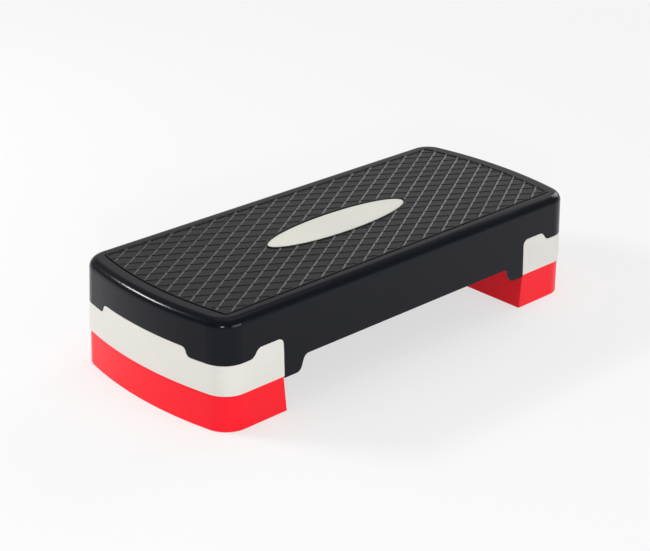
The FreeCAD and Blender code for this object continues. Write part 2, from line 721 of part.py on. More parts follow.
def make_riser(which):
    body = new_body(f"riser_{which}")
    bottom = "riser_pad_proud"
    levels = (
        (bottom, "riser_inner - riser_flare", "riser_half_length + riser_end_spread",
         "riser_half_width + riser_side_spread"),
        ("riser_top - riser_land", "riser_inner", "riser_half_length", "riser_half_width"),
    )
    outer = []
    inner = []
    for tag, (level, inside, half_length, half_width) in zip(("low", "high"), levels):
        sketch = new_sketch(body, f"outside_{tag}", offset=level)
        draw_end_outline(sketch, inside, half_length, half_width, "end_radius", "corner_radius")
        outer.append(sketch)
    loft(body, "block", *outer)
    crown = pad(body, "crown", outer[-1], "riser_land")
    fillet(body, "upper_edge", crown, "riser_edge", lies_at("riser_top"))
    for tag, (level, inside, half_length, half_width) in zip(("low", "high"), levels):
        sketch = new_sketch(body, f"hollow_{tag}", offset="riser_ceiling" if tag == "high" else level)
        draw_end_outline(sketch, f"{inside} + riser_wall", f"{half_length} - riser_wall",
                         f"{half_width} - riser_wall", "end_radius - riser_wall",
                         "corner_radius - riser_wall")
        inner.append(sketch)
    loft(body, "hollow", *inner, adds=False)

    rib_height = "riser_rib_depth + riser_roof / 2"
    long_rib = new_sketch(body, "long_rib_foot", offset="riser_rib_foot")
    half = "riser_half_width - riser_wall + rib_bite"
    draw_box(long_rib, "peg_x - rib_thickness / 2", "peg_x + rib_thickness / 2", f"-({half})", half)
    pad(body, "long_rib", long_rib, rib_height)
    short_ribs = new_sketch(body, "short_rib_feet", offset="riser_rib_foot")
    for middle in ("-peg_y", "0", "peg_y"):
        draw_box(short_ribs, "riser_inner + riser_wall - rib_bite",
                 "riser_half_length - riser_wall + rib_bite",
                 f"{middle} - rib_thickness / 2", f"{middle} + rib_thickness / 2")
    pad(body, "short_ribs", short_ribs, rib_height)

    pad_centres = fours("pad_x_inner", "pad_x_outer", "pad_y")
    peg_centres = [("peg_x", "-peg_y"), ("peg_x", "peg_y")]
    posts = new_sketch(body, "post_feet", offset=bottom)
    draw_circles(posts, pad_centres, "post_radius")
    pad(body, "posts", posts, f"riser_top - riser_roof / 2 - {bottom}")
    pegs = new_sketch(body, "peg_feet", offset="riser_top - riser_roof / 2")
    draw_circles(pegs, peg_centres, "peg_radius")
    pegs = pad(body, "pegs", pegs, "peg_height + riser_roof / 2")
    fillet(body, "peg_tops", pegs, "peg_round", lies_at("riser_top + peg_height"))

    cup_depth = "foot_pad_proud + cup_room"
    cuts = (
        ("pad_cups", pad_centres, "foot_pad_radius + pad_room", "riser_top", cup_depth, False),
        ("pad_seats", pad_centres, "riser_pad_radius + pad_fit", bottom, "pad_seat", True),
        ("post_bores", pad_centres, "post_bore", bottom,
         f"riser_top - ({cup_depth}) - post_floor - {bottom}", True),
        ("peg_bores", peg_centres, "peg_radius - peg_wall", "riser_rib_foot",
         "riser_rib_depth + riser_roof + peg_height - peg_wall", True),
    )
    for name, centres, radius, level, depth, upwards in cuts:
        mouth = new_sketch(body, f"{name}_mouth", offset=level)
        draw_circles(mouth, centres, radius)
        pocket(body, name, mouth, depth, along_normal=upwards)
    return turn_to(body, which)


# Rubber pads

def make_pads(kind, level, radius, height):
    """Round pads on the four centres at each end, one piece each, rounded at the bottom."""
    pads = []
    for which in SIDES:
        for column, x in (("inner", "pad_x_inner"), ("outer", "pad_x_outer")):
            for row, y in (("front", "-pad_y"), ("back", "pad_y")):
                body = new_body(f"{kind}_pad_{which}_{column}_{row}")
                disc = new_sketch(body, "disc", offset=level)
                draw_circles(disc, [("-" + x if which == "left" else x, y)], radius)
                rubber = pad(body, "rubber", disc, height)
                fillet(body, "rounded_foot", rubber, "pad_round", lies_at(level))
                pads.append(body)
    return pads


# Screws

def make_screws(which):
    """The screws of one end foot: heads in the wells, shanks up into the bosses."""
    body = new_body(f"foot_screws_{which}")
    centres = fours("screw_x_inner", "screw_x_outer", "screw_y")
    seat = "well_level - well_floor"
    heads = new_sketch(body, "head_rings", offset=f"{seat} - head_height")
    draw_circles(heads, centres, "head_radius")
    pad(body, "heads", heads, "head_height")
    shanks = new_sketch(body, "shank_rings", offset=f"{seat} - head_height / 2")
    draw_circles(shanks, centres, "screw_radius")
    pad(body, "shanks", shanks, "screw_length + head_height / 2")
    drives = new_sketch(body, "drive_mouths", offset=f"{seat} - head_height")
    draw_circles(drives, centres, "drive_radius")
    pocket(body, "drives", drives, "drive_depth", along_normal=True)
    return turn_to(body, which)


pieces = [make_deck_shell(), make_tread_mat(), make_centre_plate()]
for which in SIDES:
    pieces += [make_end_foot(which), make_riser(which), make_screws(which)]
pieces += make_pads("foot", "riser_top - foot_pad_proud", "foot_pad_radius", "foot_pad_proud + pad_seat")
pieces += make_pads("riser", "0", "riser_pad_radius", "riser_pad_proud + pad_seat")
doc.recompute()

# Check the model, then write one file for each piece
for thing in doc.Objects:
    if "Invalid" in thing.State or "Error" in thing.State:
        raise RuntimeError(f"{thing.Label} did not compute: {thing.State}")
for piece in pieces:
    if piece.Shape.isNull() or not piece.Shape.isValid():
        raise RuntimeError(f"{piece.Label} has no valid shape")
os.makedirs("parts", exist_ok=True)
for piece in pieces:
    piece.Shape.exportStep(f"parts/{piece.Label}.step")
    print(piece.Label, len(piece.Shape.Solids), "solids", round(piece.Shape.Volume), "cubic mm")
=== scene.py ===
"""Aerobic step platform: finishes, moulded details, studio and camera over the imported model.

Metres. X runs along the deck, Y across it and Z up, with the origin on the floor under its middle.
"""
import math

import bpy
from mathutils import Matrix, Vector
from mathutils.geometry import intersect_line_line_2d


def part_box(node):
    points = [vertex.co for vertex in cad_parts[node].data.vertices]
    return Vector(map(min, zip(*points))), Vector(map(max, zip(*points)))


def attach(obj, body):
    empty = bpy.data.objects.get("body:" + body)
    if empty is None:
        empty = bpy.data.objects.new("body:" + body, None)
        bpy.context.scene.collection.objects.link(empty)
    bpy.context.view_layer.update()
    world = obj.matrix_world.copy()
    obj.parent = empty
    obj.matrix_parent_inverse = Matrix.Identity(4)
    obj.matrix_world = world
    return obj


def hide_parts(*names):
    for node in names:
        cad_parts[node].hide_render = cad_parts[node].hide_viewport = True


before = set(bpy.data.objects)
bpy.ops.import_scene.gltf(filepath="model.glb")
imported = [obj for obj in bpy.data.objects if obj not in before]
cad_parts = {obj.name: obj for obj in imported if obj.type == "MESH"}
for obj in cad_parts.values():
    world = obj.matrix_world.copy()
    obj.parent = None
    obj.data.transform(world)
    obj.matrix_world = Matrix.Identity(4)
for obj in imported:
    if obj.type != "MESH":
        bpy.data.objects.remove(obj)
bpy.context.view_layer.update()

bl_info = {
    "name": "Aerobic Step Platform",
    "version": (1, 0, 0),
    "blender": (4, 5, 0),
    "location": "3D View > Sidebar > Step Platform",
    "description": "Dresses an aerobic step platform and sets up its studio",
    "category": "Object",
}


# Sizes and colours that a user would change

def length(name, description, default):
    return bpy.props.FloatProperty(name=name, description=description, default=default, unit="LENGTH",
                                   precision=4)


def angle(name, description, degrees):
    return bpy.props.FloatProperty(name=name, description=description, default=math.radians(degrees),
                                   subtype="ANGLE")


def number(name, description, default):
    return bpy.props.FloatProperty(name=name, description=description, default=default)


def point(name, description, default):
    return bpy.props.FloatVectorProperty(name=name, description=description, default=default,
                                         size=len(default), subtype="XYZ")


def colour(name, description, default):
    return bpy.props.FloatVectorProperty(name=name, description=description, default=default, size=3,
                                         min=0.0, max=1.0, subtype="COLOR")


class StepColours(bpy.types.PropertyGroup):
    """Base colours of the finishes, in linear light."""
    deck: colour("Deck", "Black moulded deck", (0.0013, 0.0019, 0.0058))
    tread: colour("Tread", "Rubber of the tread mat", (0.0098, 0.0102, 0.0104))
    plate: colour("Oval plate", "Pale plate in the middle of the tread", (0.79, 0.79, 0.715))
    foot: colour("End feet", "Off-white end feet", (0.725, 0.715, 0.67))
    riser: colour("Risers", "Red pull-off risers", (0.93, 0.002, 0.015))
    pad: colour("Pads", "Rubber pads under the feet and risers", (0.018, 0.018, 0.018))
    screw: colour("Screws", "Plated steel screws", (0.56, 0.56, 0.58))
    floor: colour("Floor", "Studio floor", (0.93, 0.93, 0.93))


class TreadSizes(bpy.types.PropertyGroup):
    """Sizes of the tread mat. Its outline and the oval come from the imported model."""
    end_radius: length("End radius", "Bow of the mat's two ends", 0.506)
    corner: length("Corner radius", "Rounding of the mat's corners", 0.0045)
    bead_width: length("Bead width", "Width of the raised border", 0.0022)
    collar_width: length("Collar width", "Width of the raised ring round the oval plate", 0.003)
    plate_gap: length("Plate gap", "Groove between the plate and its collar", 0.0008)
    lean: angle("Rib lean", "Angle of the ribs to the long axis", 30.0)
    pitch: length("Rib pitch", "Distance between ribs along the long axis", 0.0374)
    height: length("Rib height", "Height of the main ribs, bead and collar above the mat", 0.001)
    foot_width: length("Rib foot", "Width of a main rib where it leaves the mat", 0.0043)
    cross_height: length("Cross rib height", "Height of the cross ribs above the mat", 0.0007)
    cross_foot_width: length("Cross rib foot", "Width of a cross rib where it leaves the mat", 0.0035)
    crown_width: length("Rib crown", "Width of a rib across its top", 0.0015)
    rounding: length("Rib rounding", "Radius along the edges of a rib's crown", 0.0005)
    shift: point("Rib shift", "Shift of the rib pattern from the middle of the mat", (0.0028, 0.0024))


class PadSizes(bpy.types.PropertyGroup):
    """Details of the rubber pads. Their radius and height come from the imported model."""
    rounding: length("Rounding", "Radius along the lower edge", 0.001)
    groove_depth: length("Groove depth", "Depth of the rings in the tread face", 0.0006)
    groove_width: length("Groove width", "Width of the rings in the tread face", 0.0011)


class ScrewSizes(bpy.types.PropertyGroup):
    """Sizes of the screws that hold the end feet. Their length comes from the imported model."""
    head_radius: length("Head radius", "Radius of the pan head", 0.0042)
    head_height: length("Head height", "Height of the pan head", 0.003)
    shank_radius: length("Shank radius", "Radius of the shank", 0.002)
    drive_length: length("Drive length", "Span of the cross recess", 0.0046)
    drive_width: length("Drive width", "Width of one arm of the cross recess", 0.001)
    drive_depth: length("Drive depth", "Depth of the cross recess", 0.0017)


class StepCamera(bpy.types.PropertyGroup):
    """Viewpoint of the main picture."""
    azimuth: angle("Azimuth", "Turn about the vertical from the front", -44.76)
    elevation: angle("Elevation", "Height angle above the floor", 24.36)
    roll: angle("Roll", "Tilt of the picture", 1.41)
    distance: length("Distance", "From the aim point", 2.33288)
    focal: number("Focal length", "In picture widths", 2.626275)
    aim: point("Aim", "Point in the middle of the picture", (-0.01171, 0.00981, 0.07))


# Node trees

def put(tree, kind, settings=None, **inputs):
    """A node with its settings, and inputs given as values or as sockets to link from.

    An input goes by its name, with _ for a space, or by its number, as _0.
    """
    node = tree.nodes.new(kind)
    for name, setting in (settings or {}).items():
        setattr(node, name, setting)
    for name, source in inputs.items():
        label = name[1:]
        socket = node.inputs[int(label) if label.isdigit() else name.replace("_", " ")]
        if isinstance(source, bpy.types.NodeSocket):
            tree.links.new(source, socket)
        else:
            socket.default_value = source
    return node


def math_node(tree, operation, *values):
    """The result of a sum on values or sockets."""
    return put(tree, "ShaderNodeMath", {"operation": operation},
               **{f"_{index}": value for index, value in enumerate(values)}).outputs[0]


# Shader node groups

WEAR_REACH = 0.0009
WEAR_TURN = (0.995, 0.86)       # cosine of the turn at which an edge starts to wear and is fully worn
WEAR_PATCHES = (0.4, 0.62)      # noise between which a worn edge goes from faint to full
DUST_SLOPE = (0.55, 0.98)       # upward part of the normal at which dust starts to lie and lies fully
DUST_CLOUDS = (0.35, 0.7)       # noise between which the dust goes from faint to full


def new_group(name, inputs, outputs):
    """An empty shader group with named number sockets, its inputs given with their defaults."""
    tree = bpy.data.node_groups.new(name, "ShaderNodeTree")
    for label, default in inputs.items():
        socket = tree.interface.new_socket(label, in_out="INPUT", socket_type="NodeSocketFloat")
        socket.default_value = default
    for label in outputs:
        tree.interface.new_socket(label, in_out="OUTPUT", socket_type="NodeSocketFloat")
    return tree, tree.nodes.new("NodeGroupInput").outputs, tree.nodes.new("NodeGroupOutput").inputs


def noise(tree, scale, detail, roughness):
    """A noise on the piece's own coordinates."""
    place = put(tree, "ShaderNodeTexCoord").outputs["Object"]
    return put(tree, "ShaderNodeTexNoise", Vector=place, Scale=scale, Detail=detail,
               Roughness=roughness).outputs["Fac"]


def ranged(tree, value, given, wanted=(0.0, 1.0)):
    """A value carried from one range into another and held there."""
    return put(tree, "ShaderNodeMapRange", Value=value, From_Min=given[0], From_Max=given[1],
               To_Min=wanted[0], To_Max=wanted[1]).outputs["Result"]


def make_grain_group():
    """Spark-eroded mould grain: a fine height for bump and a slow mottle for colour and gloss."""
    tree, given, out = new_group("Mould Grain", {"Grain Scale": 1400.0, "Mottle Scale": 9.0},
                                 ["Height", "Mottle"])
    tree.links.new(noise(tree, given["Grain Scale"], detail=2.0, roughness=0.6), out["Height"])
    tree.links.new(noise(tree, given["Mottle Scale"], detail=4.0, roughness=0.55), out["Mottle"])
    return tree


def make_wear_group():
    """Rubbed edges: where the surface turns sharply, broken up by a noise."""
    tree, given, out = new_group("Edge Wear", {"Amount": 0.5}, ["Mask"])
    soft = put(tree, "ShaderNodeBevel", {"samples": 6}, Radius=WEAR_REACH)
    flat = put(tree, "ShaderNodeNewGeometry")
    along = put(tree, "ShaderNodeVectorMath", {"operation": "DOT_PRODUCT"}, _0=soft.outputs["Normal"],
                _1=flat.outputs["Normal"])
    edge = ranged(tree, along.outputs["Value"], WEAR_TURN)
    patches = ranged(tree, noise(tree, 70.0, detail=5.0, roughness=0.6), WEAR_PATCHES, (0.15, 1.0))
    worn = math_node(tree, "MULTIPLY", edge, patches)
    tree.links.new(math_node(tree, "MULTIPLY", worn, given["Amount"]), out["Mask"])
    return tree


def make_dust_group():
    """A thin film of dust on what faces up, in faint clouds."""
    tree, given, out = new_group("Settled Dust", {"Amount": 0.01}, ["Mask"])
    normal = put(tree, "ShaderNodeNewGeometry").outputs["Normal"]
    upward = ranged(tree, put(tree, "ShaderNodeSeparateXYZ", Vector=normal).outputs["Z"], DUST_SLOPE)
    clouds = ranged(tree, noise(tree, 24.0, detail=6.0, roughness=0.65), DUST_CLOUDS, (0.3, 1.0))
    film = math_node(tree, "MULTIPLY", upward, clouds)
    tree.links.new(math_node(tree, "MULTIPLY", film, given["Amount"]), out["Mask"])
    return tree


def shared(name, make):
    """A shader group, made when a finish first asks for it."""
    return bpy.data.node_groups.get(name) or make()


# Finishes

MOTTLE_SHADES = (0.93, 1.07)    # shares of the base colour between which it varies
MOTTLE_RANGE = (0.3, 0.7)       # mottle between which the gloss varies
GLOSS_SPREAD = 0.04
WORN_DULLING = 0.15             # roughness that full wear adds
GRAIN_DEPTH = 0.0002
DUST_COLOUR = (0.50, 0.48, 0.45, 1.0)


def principled(name):
    material = bpy.data.materials.new(name)
    material.use_nodes = True
    tree = material.node_tree
    tree.nodes.clear()
    shader = tree.nodes.new("ShaderNodeBsdfPrincipled")
    output = tree.nodes.new("ShaderNodeOutputMaterial")
    tree.links.new(shader.outputs["BSDF"], output.inputs["Surface"])
    return material, tree, shader


def make_finish(name, base, edge, roughness, specular, bump, grain_scale=1400.0, wear=0.5, dust=0.006,
                metallic=0.0):
    """A used surface: fine grain, slow mottle in colour and gloss, rubbed edges and a trace of dust."""
    material, tree, shader = principled(name)

    def effect(label, make, **inputs):
        return put(tree, "ShaderNodeGroup", {"node_tree": shared(label, make)}, **inputs).outputs

    def mixed(share, first, second):
        mix = put(tree, "ShaderNodeMix", {"data_type": "RGBA"}, Factor=share, _6=first, _7=second)
        return mix.outputs[2]

    grain = effect("Mould Grain", make_grain_group, Grain_Scale=grain_scale)
    worn = effect("Edge Wear", make_wear_group, Amount=wear)["Mask"]
    dusted = effect("Settled Dust", make_dust_group, Amount=dust)["Mask"]
    low, high = ([min(1.0, shade * part) for part in base] + [1.0] for shade in MOTTLE_SHADES)
    tint = mixed(grain["Mottle"], low, high)
    edged = mixed(worn, tint, (*edge, 1.0))
    gloss = ranged(tree, grain["Mottle"], MOTTLE_RANGE, (roughness - GLOSS_SPREAD, roughness + GLOSS_SPREAD))
    dulled = put(tree, "ShaderNodeMath", {"operation": "MULTIPLY_ADD", "use_clamp": True}, _0=worn,
                 _1=WORN_DULLING, _2=gloss)
    relief = put(tree, "ShaderNodeBump", Height=grain["Height"], Strength=bump, Distance=GRAIN_DEPTH)
    tree.links.new(mixed(dusted, edged, DUST_COLOUR), shader.inputs["Base Color"])
    tree.links.new(dulled.outputs[0], shader.inputs["Roughness"])
    tree.links.new(relief.outputs["Normal"], shader.inputs["Normal"])
    shader.inputs["Specular IOR Level"].default_value = specular
    shader.inputs["Metallic"].default_value = metallic
    return material


def dress(material, *nodes):
    """Give parts of the imported model a finish in place of their plain one."""
    for node in nodes:
        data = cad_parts[node].data
        data.materials.clear()
        data.materials.append(material)


class STEP_OT_deck(bpy.types.Operator):
    """Finish the black moulded deck"""
    bl_idname = "step.deck"
    bl_label = "Deck"

    def execute(self, context):
        finish = make_finish("deck_finish", context.scene.step_colours.deck, edge=(0.012, 0.012, 0.013),
                             roughness=0.17, specular=0.19, bump=0.02, dust=0.002)
        dress(finish, "deck_shell")
        return {"FINISHED"}


class STEP_OT_plate(bpy.types.Operator):
    """Finish the pale oval plate"""
    bl_idname = "step.plate"
    bl_label = "Oval plate"

    def execute(self, context):
        finish = make_finish("plate_finish", context.scene.step_colours.plate, edge=(0.60, 0.59, 0.53),
                             roughness=0.5, specular=0.3, bump=0.05)
        dress(finish, "centre_plate")
        return {"FINISHED"}


class STEP_OT_end_feet(bpy.types.Operator):
    """Finish the two off-white end feet"""
    bl_idname = "step.end_feet"
    bl_label = "End feet"

    def execute(self, context):
        finish = make_finish("foot_finish", context.scene.step_colours.foot, edge=(0.68, 0.66, 0.60),
                             roughness=0.45, specular=0.4, bump=0.08)
        dress(finish, "end_foot_left", "end_foot_right")
        return {"FINISHED"}


class STEP_OT_risers(bpy.types.Operator):
    """Finish the two red pull-off risers"""
    bl_idname = "step.risers"
    bl_label = "Risers"

    def execute(self, context):
        finish = make_finish("riser_finish", context.scene.step_colours.riser, edge=(0.92, 0.02, 0.03),
                             roughness=0.33, specular=0.28, bump=0.05)
        dress(finish, "riser_left", "riser_right")
        return {"FINISHED"}


# Meshes and trees for what repeats

SAME_POINT = 1e-6       # points nearer than this are one
SOCKETS = {int: "NodeSocketInt", float: "NodeSocketFloat"}


def path_mesh(name, sets):
    """Points and edges along paths, given as (mark, closed, paths).

    Each point is marked with its set's number.
    """
    points, edges, marks = [], [], []
    for mark, closed, paths in sets:
        for path in paths:
            first = len(points)
            points += [(*place, 0.0)[:3] for place in path]
            marks += [mark] * len(path)
            edges += [(first + i, first + i + 1) for i in range(len(path) - 1)]
            if closed:
                edges.append((len(points) - 1, first))
    mesh = bpy.data.meshes.new(name)
    mesh.from_pydata(points, edges, [])
    mesh.attributes.new("path", "INT", "POINT").data.foreach_set("value", marks)
    return mesh


def geometry_tree(name, sizes):
    """An empty geometry tree, with a named input for each size after its geometry."""
    tree = bpy.data.node_groups.new(name, "GeometryNodeTree")
    tree.interface.new_socket("Geometry", in_out="INPUT", socket_type="NodeSocketGeometry")
    for label, size in sizes.items():
        socket = tree.interface.new_socket(label, in_out="INPUT", socket_type=SOCKETS[type(size)])
        socket.default_value = size
    tree.interface.new_socket("Geometry", in_out="OUTPUT", socket_type="NodeSocketGeometry")
    return tree, tree.nodes.new("NodeGroupInput").outputs, tree.nodes.new("NodeGroupOutput")


def marked(tree, geometry, mark):
    """The points and edges of one path set."""
    held = put(tree, "GeometryNodeInputNamedAttribute", {"data_type": "INT"}, Name="path")
    same = put(tree, "FunctionNodeCompare", {"data_type": "INT", "operation": "EQUAL"},
               _2=held.outputs["Attribute"], _3=mark)
    return put(tree, "GeometryNodeSeparateGeometry", {"domain": "POINT"}, Geometry=geometry,
               Selection=same.outputs["Result"]).outputs["Selection"]


def creased(tree, geometry, limit):
    """Smooth shading, with edges that turn more than the limit kept sharp."""
    smooth = put(tree, "GeometryNodeSetShadeSmooth", Geometry=geometry)
    bend = put(tree, "GeometryNodeInputMeshEdgeAngle")
    sharp = put(tree, "FunctionNodeCompare", {"data_type": "FLOAT", "operation": "GREATER_THAN"},
                _0=bend.outputs["Unsigned Angle"], _1=limit)
    return put(tree, "GeometryNodeSetShadeSmooth", {"domain": "EDGE"}, Geometry=smooth.outputs["Geometry"],
               Selection=sharp.outputs["Result"], Shade_Smooth=False).outputs["Geometry"]


def end_tree(tree, out, geometry, material):
    """Close a geometry tree with real geometry in one finish."""
    whole = put(tree, "GeometryNodeRealizeInstances", Geometry=geometry)
    finish = put(tree, "GeometryNodeSetMaterial", Geometry=whole.outputs["Geometry"], Material=material)
    tree.links.new(finish.outputs["Geometry"], out.inputs["Geometry"])
    return tree


def grow(name, mesh, tree, sizes):
    """Run a geometry tree on a mesh and keep the result as a plain mesh object."""
    seed = bpy.data.objects.new(name + "_seed", mesh)
    bpy.context.scene.collection.objects.link(seed)
    modifier = seed.modifiers.new(name, "NODES")
    modifier.node_group = tree
    for socket in tree.interface.items_tree:
        if socket.in_out == "INPUT" and socket.name in sizes:
            modifier[socket.identifier] = sizes[socket.name]
    evaluated = seed.evaluated_get(bpy.context.evaluated_depsgraph_get())
    piece = bpy.data.objects.new(name, bpy.data.meshes.new_from_object(evaluated))
    bpy.data.objects.remove(seed)
    bpy.context.scene.collection.objects.link(piece)
    if not piece.data.polygons:
        raise RuntimeError(f"{name} came out empty")
    return piece


# Tread mat

PATHS = {"edge": 0, "window": 1, "bead": 2, "collar": 3, "rib": 4, "cross rib": 5}
TREAD_CREASE = math.radians(24)
RIB_OVERRUN = 1.2       # reach of an uncut rib line, in half lengths of the mat


def bowed_outline(half_length, half_width, bow, corner, steps=24):
    """Points round a plan outline with straight sides, bowed ends and rounded corners."""
    bow_x = half_length - bow
    corner_x = bow_x + math.sqrt((bow - corner) ** 2 - (half_width - corner) ** 2)
    lean = math.atan2(half_width - corner, corner_x - bow_x)
    end = []
    for centre, radius, start, finish in (((corner_x, corner - half_width), corner, -math.pi / 2, -lean),
                                          ((bow_x, 0.0), bow, -lean, lean),
                                          ((corner_x, half_width - corner), corner, lean, math.pi / 2)):
        for step in range(steps + 1):
            turn = start + (finish - start) * step / steps
            end.append((centre[0] + radius * math.cos(turn), centre[1] + radius * math.sin(turn)))
    points = end + [(-x, -y) for x, y in end]
    return [place for index, place in enumerate(points) if math.dist(place, points[index - 1]) > SAME_POINT]


def oval_outline(half_length, half_width, steps=160):
    turns = [2 * math.pi * step / steps for step in range(steps)]
    return [(half_length * math.cos(turn), half_width * math.sin(turn)) for turn in turns]


def crossings(start, finish, outline):
    """Shares of a line at which it crosses a closed outline."""
    shares = []
    for index, corner in enumerate(outline):
        met = intersect_line_line_2d(start, finish, outline[index - 1], corner)
        if met:
            shares.append((met - start).length / (finish - start).length)
    return shares


def rib_lines(sizes, border, oval, way):
    """Rib centre lines of one lean, from border to border and cut out across the oval."""
    along = Vector((math.cos(sizes.lean), way * math.sin(sizes.lean)))
    reach = RIB_OVERRUN * max(x for x, _ in border)
    count = math.ceil(2 * reach / sizes.pitch)
    shortest = 2 * sizes.foot_width
    lines = []
    for index in range(-count, count):
        middle = Vector(sizes.shift) + Vector(((index + 0.5) * sizes.pitch, 0.0))
        start, finish = middle - reach * along, middle + reach * along
        shares = sorted(crossings(start, finish, border) + crossings(start, finish, oval))
        for first, last in zip(shares[0::2], shares[1::2]):
            if (last - first) * 2 * reach > shortest:
                lines.append([start.lerp(finish, first), start.lerp(finish, last)])
    return lines


def make_tread_tree(material, sizes):
    """Sheet with its window, and rounded strips swept along the border, the oval and the ribs."""
    tree, size, out = geometry_tree("Tread Mat", sizes)

    def path(kind):
        curve = put(tree, "GeometryNodeMeshToCurve", Mesh=marked(tree, size["Geometry"], PATHS[kind]))
        return put(tree, "GeometryNodeSetCurveNormal", {"mode": "Z_UP"},
                   Curve=curve.outputs["Curve"]).outputs["Curve"]

    def strip(kind, height, foot, crown):
        """A rounded strip, sunk by its own height.

        The sweep turns the section over, so its crown is drawn below.
        """
        sunk = math_node(tree, "SUBTRACT", math_node(tree, "MULTIPLY", foot, 2.0), crown)
        section = put(tree, "GeometryNodeCurvePrimitiveQuadrilateral", {"mode": "TRAPEZOID"},
                      Height=math_node(tree, "MULTIPLY", height, 2.0), Bottom_Width=crown, Top_Width=sunk,
                      Offset=0.0)
        rounded = put(tree, "GeometryNodeFilletCurve", {"mode": "POLY"}, Curve=section.outputs["Curve"],
                      Count=3, Radius=size["Rounding"], Limit_Radius=True)
        return put(tree, "GeometryNodeCurveToMesh", Curve=path(kind), Profile_Curve=rounded.outputs["Curve"],
                   Fill_Caps=True).outputs["Mesh"]

    edges = put(tree, "GeometryNodeJoinGeometry")
    tree.links.new(path("edge"), edges.inputs[0])
    tree.links.new(path("window"), edges.inputs[0])
    face = put(tree, "GeometryNodeFillCurve", Curve=edges.outputs["Geometry"])
    drop = put(tree, "ShaderNodeCombineXYZ", Z=math_node(tree, "MULTIPLY", size["Sheet Thickness"], -1.0))
    below = put(tree, "GeometryNodeExtrudeMesh", {"mode": "FACES"}, Mesh=face.outputs["Mesh"],
                Offset=drop.outputs[0], Offset_Scale=1.0, Individual=False)
    outward = put(tree, "GeometryNodeFlipFaces", Mesh=below.outputs["Mesh"])
    closed = put(tree, "GeometryNodeJoinGeometry")
    tree.links.new(face.outputs["Mesh"], closed.inputs[0])
    tree.links.new(outward.outputs["Mesh"], closed.inputs[0])
    sheet = put(tree, "GeometryNodeMergeByDistance", Geometry=closed.outputs["Geometry"], Distance=SAME_POINT)

    union = put(tree, "GeometryNodeMeshBoolean", {"operation": "UNION", "solver": "MANIFOLD"})
    for part in (sheet.outputs["Geometry"],
                 strip("bead", size["Height"], size["Bead Width"], size["Bead Width"]),
                 strip("collar", size["Height"], size["Collar Width"], size["Collar Width"]),
                 strip("rib", size["Height"], size["Rib Foot"], size["Rib Crown"]),
                 strip("cross rib", size["Cross Rib Height"], size["Cross Rib Foot"], size["Rib Crown"])):
        tree.links.new(part, union.inputs["Mesh 2"])
    rise = put(tree, "ShaderNodeCombineXYZ", Z=size["Level"])
    placed = put(tree, "GeometryNodeTransform", Geometry=union.outputs["Mesh"], Translation=rise.outputs[0])
    return end_tree(tree, out, creased(tree, placed.outputs["Geometry"], size["Sharp Angle"]), material)


class STEP_OT_tread(bpy.types.Operator):
    """Make the rubber tread mat with its border, collar and crossed ribs"""
    bl_idname = "step.tread"
    bl_label = "Tread mat"

    def execute(self, context):
        sizes = context.scene.step_tread
        low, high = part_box("tread_mat")
        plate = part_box("centre_plate")[1]
        level = high.z - sizes.height

        def inset(depth):
            return bowed_outline(high.x - depth, high.y - depth, sizes.end_radius - depth,
                                 sizes.corner - depth)

        def oval(margin):
            return oval_outline(plate.x + sizes.plate_gap + margin, plate.y + sizes.plate_gap + margin)

        bead, collar = inset(sizes.bead_width / 2), oval(sizes.collar_width / 2)
        paths = path_mesh("tread_paths", [
            (PATHS["edge"], True, [inset(0.0)]),
            (PATHS["window"], True, [oval(0.0)]),
            (PATHS["bead"], True, [bead]),
            (PATHS["collar"], True, [collar]),
            (PATHS["rib"], False, rib_lines(sizes, bead, collar, 1)),
            (PATHS["cross rib"], False, rib_lines(sizes, bead, collar, -1))])
        inputs = {
            "Level": level, "Sheet Thickness": level - low.z,
            "Height": sizes.height, "Rib Foot": sizes.foot_width,
            "Cross Rib Height": sizes.cross_height, "Cross Rib Foot": sizes.cross_foot_width,
            "Rib Crown": sizes.crown_width, "Rounding": sizes.rounding,
            "Bead Width": sizes.bead_width, "Collar Width": sizes.collar_width,
            "Sharp Angle": TREAD_CREASE}
        finish = make_finish("tread_finish", context.scene.step_colours.tread, edge=(0.018, 0.018, 0.018),
                             roughness=0.3, specular=0.22, bump=0.05, grain_scale=900.0, wear=0.3, dust=0.003)
        mat = grow("tread", paths, make_tread_tree(finish, inputs), inputs)
        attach(mat, "deck")
        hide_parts("tread_mat")
        return {"FINISHED"}


# Pads and screws

TURNED = {"place": 0, "section": 1}
TURNED_CREASE = math.radians(35)
PAD_SIDES = 48
PAD_DIMPLE = 0.14           # radius of the dimple in a pad's tread face, in pad radii
PAD_RINGS = (0.42, 0.68)    # radii of the rings round it, in pad radii
SCREW_SIDES = 24


